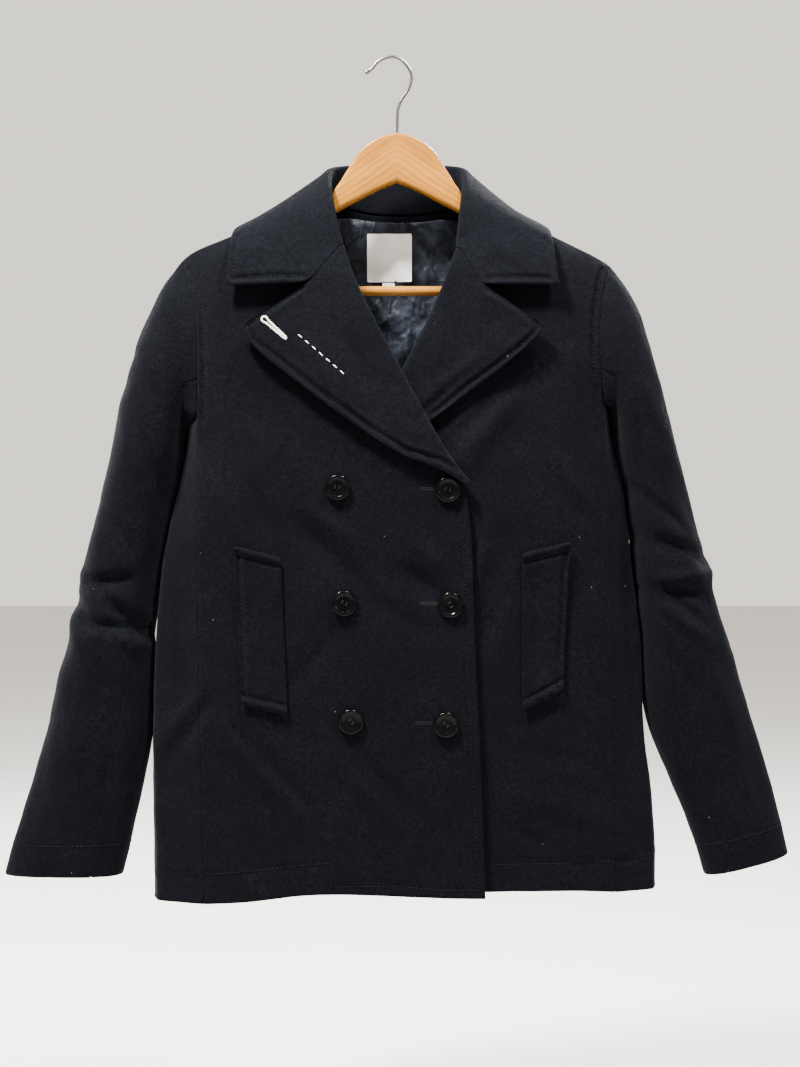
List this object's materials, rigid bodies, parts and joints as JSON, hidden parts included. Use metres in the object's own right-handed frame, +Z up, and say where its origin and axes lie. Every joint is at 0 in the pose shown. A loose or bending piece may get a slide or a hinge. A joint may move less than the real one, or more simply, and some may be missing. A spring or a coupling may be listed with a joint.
{
  "type": "pea coat on a hanger",
  "caption": "Navy wool double-breasted pea coat with notched lapels and welt pockets, hanging on a wooden hanger with a wire hook.",
  "frame": {"origin": "under the crown of the wire hook, where a rail or peg carries it", "axes": "+Z up, -Y out of the front of the coat, +X to the viewer's right as the coat is faced"},
  "size_m": [0.7504, 0.1162, 0.8091],
  "materials": {
    "front_left": "navy wool melton",
    "front_right": "navy wool melton",
    "back": "navy wool melton",
    "side_left": "navy wool melton",
    "side_right": "navy wool melton",
    "sleeve_upper_left": "navy wool melton",
    "sleeve_under_left": "navy wool melton",
    "sleeve_upper_right": "navy wool melton",
    "sleeve_under_right": "navy wool melton",
    "lapel_left": "navy wool melton",
    "lapel_right": "navy wool melton",
    "collar": "navy wool melton",
    "pocket_welt_left": "navy wool melton",
    "pocket_welt_right": "navy wool melton",
    "lining": "navy satin",
    "neck_label": "plain woven, blank",
    "size_tab": "plain woven, blank",
    "button_1": "polished black, four holes",
    "button_2": "polished black, four holes",
    "button_3": "polished black, four holes",
    "button_4": "polished black, four holes",
    "button_5": "polished black, four holes",
    "button_6": "polished black, four holes",
    "hanger_wood": "honey, clear lacquer",
    "trouser_bar": "honey, clear lacquer",
    "hanger_hook": "drawn wire"
  },
  "bodies": {
    "root": {"front_left": "front_left", "front_right": "front_right", "back": "back", "side_left": "side_left", "side_right": "side_right", "sleeve_upper_left": "sleeve_upper_left", "sleeve_under_left": "sleeve_under_left", "sleeve_upper_right": "sleeve_upper_right", "sleeve_under_right": "sleeve_under_right", "lapel_left": "lapel_left", "lapel_right": "lapel_right", "collar": "collar", "pocket_welt_left": "pocket_welt_left", "pocket_welt_right": "pocket_welt_right", "lining": "lining", "neck_label": "neck_label", "size_tab": "size_tab", "button_1": "button_1", "button_2": "button_2", "button_3": "button_3", "button_4": "button_4", "button_5": "button_5", "button_6": "button_6", "hanger_wood": "hanger_wood", "trouser_bar": "trouser_bar", "hanger_hook": "hanger_hook"}
  },
  "joints": []
}
